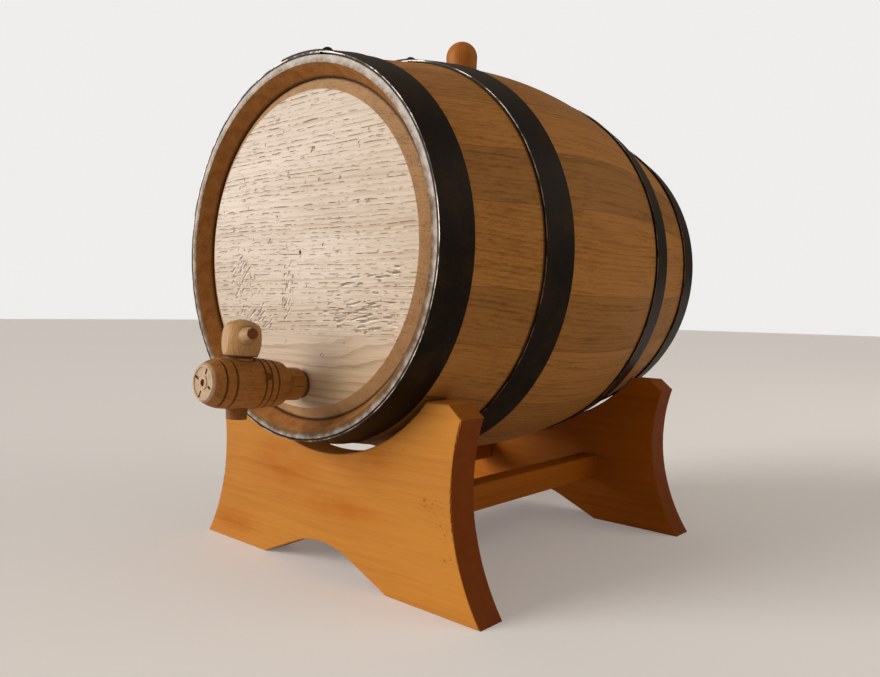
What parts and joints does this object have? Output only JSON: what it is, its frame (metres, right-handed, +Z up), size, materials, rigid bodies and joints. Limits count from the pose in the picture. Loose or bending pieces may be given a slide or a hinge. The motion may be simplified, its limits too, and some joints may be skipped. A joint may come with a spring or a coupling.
{
  "type": "oak wine barrel",
  "caption": "Small oak cask lying on a two-board wooden stand, with riveted steel hoops, a turned wooden tap in the front head and a wooden bung on top.",
  "frame": {"origin": "on the floor under the centre of the bounding box; the cask's mid-length is 25.5 mm behind it", "axes": "+Z up, the cask's axis along Y, the tap facing -Y, +X to the right seen from the tap's side"},
  "size_m": [0.22, 0.301, 0.2968],
  "materials": {
    "oak_staves": "planed oak, satin",
    "oak_heads": "bare rough-sawn oak",
    "hoop_steel": "dark lacquered steel strip, worn edges",
    "bung_wood": "oiled turned wood",
    "tap_wood": "turned wood",
    "stand_pine": "amber stained and varnished"
  },
  "bodies": {
    "stand": {"stand_board_front": "stand_pine", "stand_board_rear": "stand_pine", "stand_rail_left": "stand_pine", "stand_rail_right": "stand_pine", "rail_dowels": "stand_pine"},
    "cask": {"stave_01": "oak_staves", "stave_02": "oak_staves", "stave_03": "oak_staves", "stave_04": "oak_staves", "stave_05": "oak_staves", "stave_07": "oak_staves", "stave_08": "oak_staves", "stave_09": "oak_staves", "stave_10": "oak_staves", "stave_11": "oak_staves", "stave_12": "oak_staves", "stave_13": "oak_staves", "stave_14": "oak_staves", "stave_15": "oak_staves", "stave_16": "oak_staves", "stave_17": "oak_staves", "stave_18": "oak_staves", "stave_19": "oak_staves", "stave_20": "oak_staves", "stave_bung": "oak_staves", "head_front_lower": "oak_heads", "head_front_middle": "oak_heads", "head_front_upper": "oak_heads", "head_rear_lower": "oak_heads", "head_rear_middle": "oak_heads", "head_rear_upper": "oak_heads", "head_dowels": "oak_heads", "hoop_front_head": "hoop_steel", "hoop_front_bilge": "hoop_steel", "hoop_rear_bilge": "hoop_steel", "hoop_rear_head": "hoop_steel", "hoop_rivets": "hoop_steel"},
    "bung": {"bung": "bung_wood"},
    "tap": {"tap_body": "tap_wood"},
    "key": {"tap_key": "tap_wood"}
  },
  "joints": [
    {"name": "barrel_lift", "type": "slide", "parent": "stand", "child": "cask", "axis": [0, 0, 1], "range_m": [0, 0.1]},
    {"name": "bung_pull", "type": "slide", "parent": "cask", "child": "bung", "axis": [0, 0, 1], "range_m": [0, 0.04]},
    {"name": "tap_pull", "type": "slide", "parent": "cask", "child": "tap", "axis": [0, -0.9976, 0.0698], "range_m": [0, 0.04]},
    {"name": "key_turn", "type": "hinge", "parent": "tap", "child": "key", "pos_m": [0, -0.1309, 0.10025], "axis": [0, 0.0698, 0.9976], "continuous": true}
  ]
}
